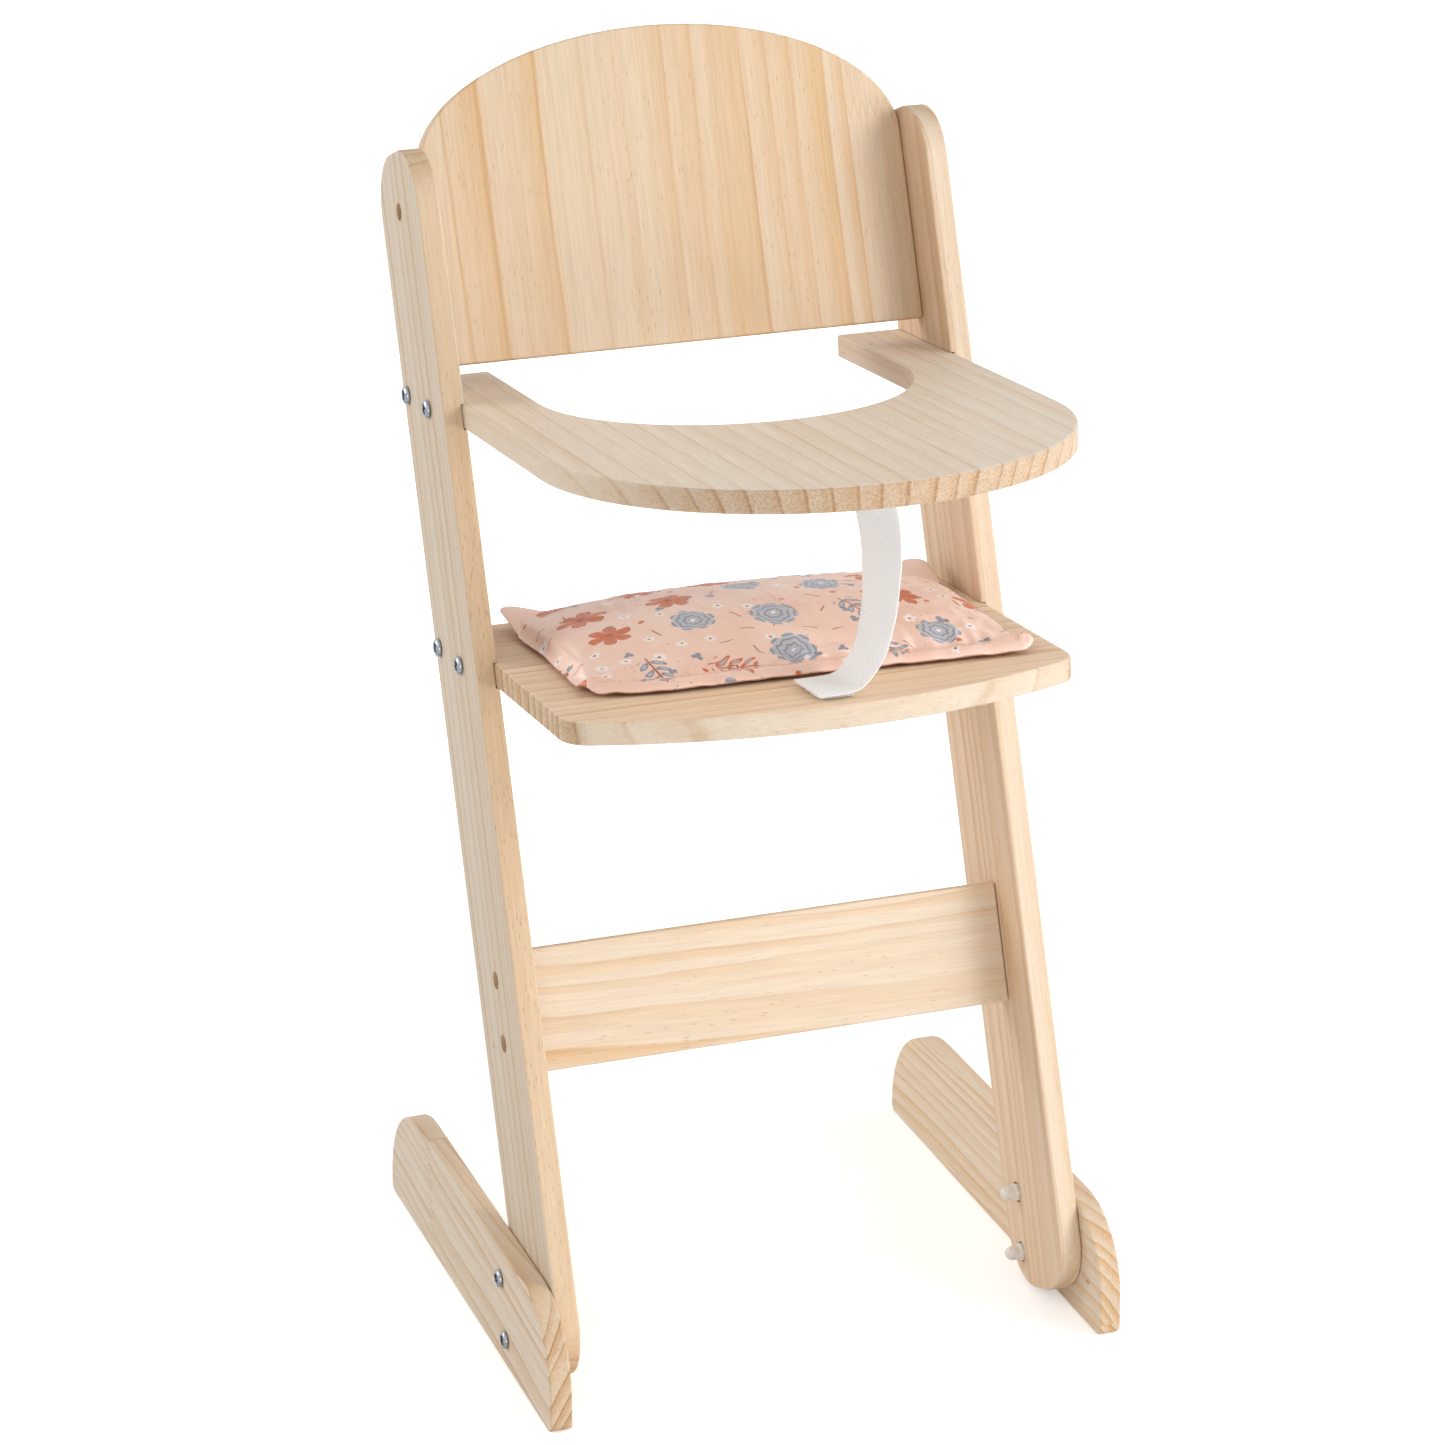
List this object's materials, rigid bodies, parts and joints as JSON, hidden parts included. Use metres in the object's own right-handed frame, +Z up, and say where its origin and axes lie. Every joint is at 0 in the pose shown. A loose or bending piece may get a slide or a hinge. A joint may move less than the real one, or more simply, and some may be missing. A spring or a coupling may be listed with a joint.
{
  "type": "doll high chair",
  "caption": "Doll high chair of pine boards with leaning side boards, a rounded back panel, a fixed tray, a cushioned seat and a webbing strap.",
  "frame": {"origin": "on the floor, under the middle of the chair's bounding box", "axes": "+Z up, -Y to the front where the tray reaches out, +X to the right seen from the front"},
  "size_m": [0.2654, 0.3223, 0.5435],
  "materials": {
    "pine": "unfinished pine, matt",
    "pine_pale": "unfinished pale pine, matt",
    "zinc": "bright zinc plating",
    "bronze_screw": "dull yellow zinc plating",
    "nylon": "off-white, satin",
    "webbing": "white woven webbing",
    "hook_tape": "white hook tape",
    "satin": null
  },
  "bodies": {
    "frame": {"upright_left": "pine", "upright_right": "pine", "foot_left": "pine", "foot_right": "pine", "crossbar": "pine", "backrest_panel": "pine", "tray": "pine_pale", "seat": "pine_pale", "strap": "webbing", "strap_patch": "hook_tape", "strap_screw": "zinc", "tray_screw_left_front": "zinc", "tray_screw_left_back": "zinc", "tray_screw_right_front": "zinc", "tray_screw_right_back": "zinc", "seat_screw_left_front": "zinc", "seat_screw_left_back": "zinc", "seat_screw_right_front": "zinc", "seat_screw_right_back": "zinc", "foot_bolt_left_low": "zinc", "foot_bolt_left_high": "zinc", "foot_bolt_right_low": "zinc", "foot_bolt_right_high": "zinc", "cap_nut_left_low": "nylon", "cap_nut_left_high": "nylon", "cap_nut_right_low": "nylon", "cap_nut_right_high": "nylon", "crossbar_screw_left_low": "bronze_screw", "crossbar_screw_left_high": "bronze_screw", "crossbar_screw_right_low": "bronze_screw", "crossbar_screw_right_high": "bronze_screw", "backrest_screw_left": "bronze_screw", "backrest_screw_right": "bronze_screw", "backrest_dowel_left": "pine", "backrest_dowel_right": "pine"},
    "cushion": {"cushion": "satin"}
  },
  "joints": [
    {"name": "cushion_slide", "type": "slide", "parent": "frame", "child": "cushion", "axis": [0, 0.9848, 0.1736], "range_m": [0, 0.24]}
  ]
}
